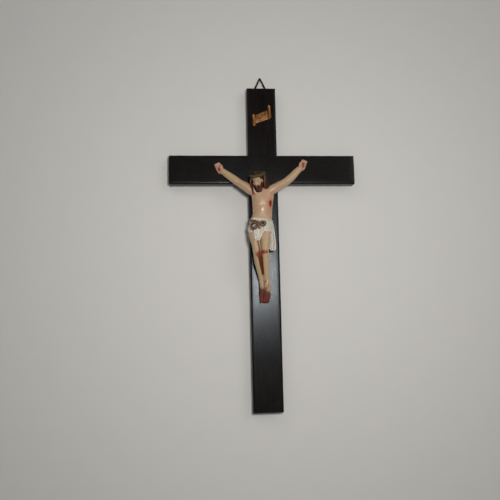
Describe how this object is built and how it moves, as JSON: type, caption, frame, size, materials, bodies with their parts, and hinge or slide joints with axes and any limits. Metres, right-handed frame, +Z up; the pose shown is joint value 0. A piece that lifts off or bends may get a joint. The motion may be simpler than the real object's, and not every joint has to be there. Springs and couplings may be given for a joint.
{
  "type": "wall cross",
  "caption": "Wooden wall cross with a painted cast figure, a small copper-coloured scroll and a triangular steel hanger at the top of its back.",
  "frame": {"origin": "inside top of the hanger's eye, where the wall's nail bears, on the plane of the wood's back", "axes": "+Z up along the upright, +X the viewer's right, front faces -Y and +Y points into the wall"},
  "size_m": [0.174, 0.0315, 0.314],
  "materials": {
    "wood": "satin black lacquer",
    "painted_casting": "glossy paint over a plaster casting",
    "copper": "coppered, polished and darkened in its hollows",
    "steel": "dark oxidised"
  },
  "bodies": {
    "root": {"upright": "wood", "crossbeam": "wood", "corpus": "painted_casting", "name_scroll": "copper", "hanger": "steel"}
  },
  "joints": []
}
